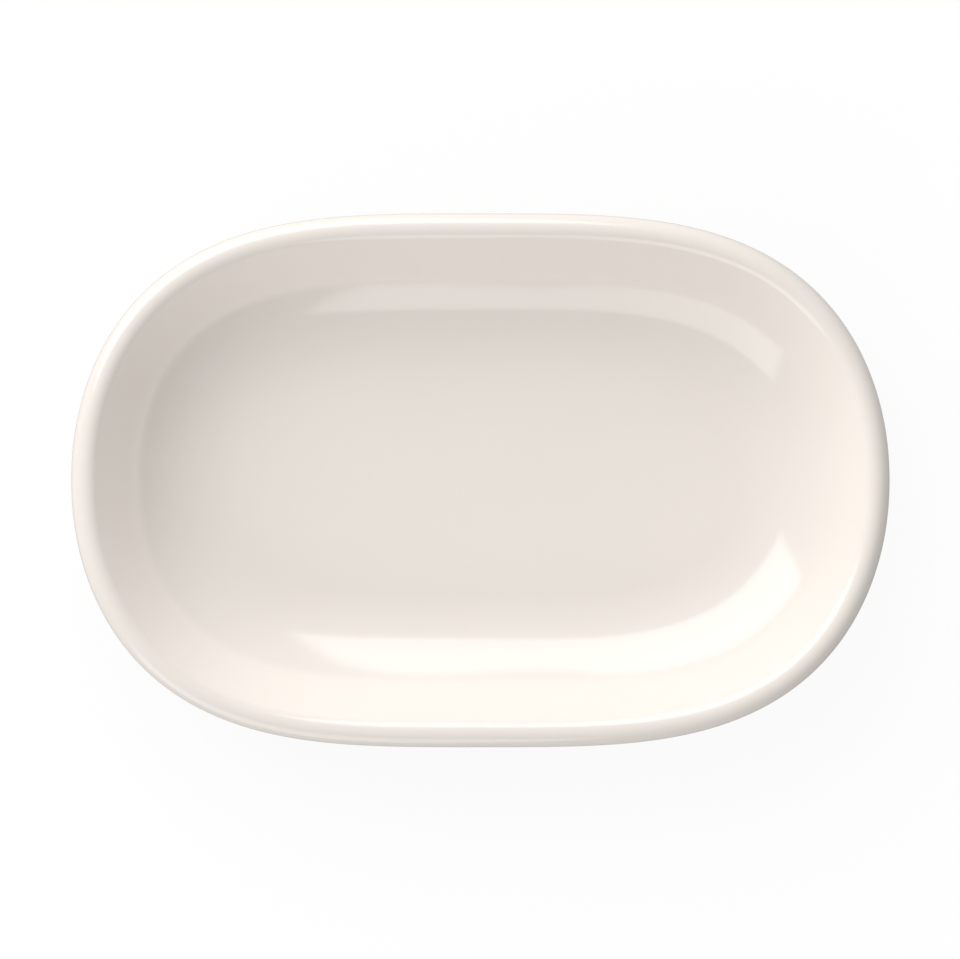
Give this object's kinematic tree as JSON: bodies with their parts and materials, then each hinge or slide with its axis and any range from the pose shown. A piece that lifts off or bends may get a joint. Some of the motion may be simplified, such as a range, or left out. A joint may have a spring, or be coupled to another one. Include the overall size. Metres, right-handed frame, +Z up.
{
  "type": "oval plate",
  "caption": "Deep oval plate of cream glazed porcelain with a rolled lip, wide sweeping sides, a flat floor and a bare foot ring, for serving food.",
  "frame": {"origin": "middle of the foot ring's standing face, on the table that the plate stands on", "axes": "+X along the plate's length, +Y across its width, +Z up out of the dish"},
  "size_m": [0.21, 0.137, 0.03],
  "materials": {
    "bare_porcelain": "bare fired porcelain, matt and faintly sandy",
    "cream_glaze": "glossy warm white glaze"
  },
  "bodies": {
    "root": {"porcelain_body": "bare_porcelain", "glaze_coat": "cream_glaze", "base_glaze": "cream_glaze"}
  },
  "joints": []
}
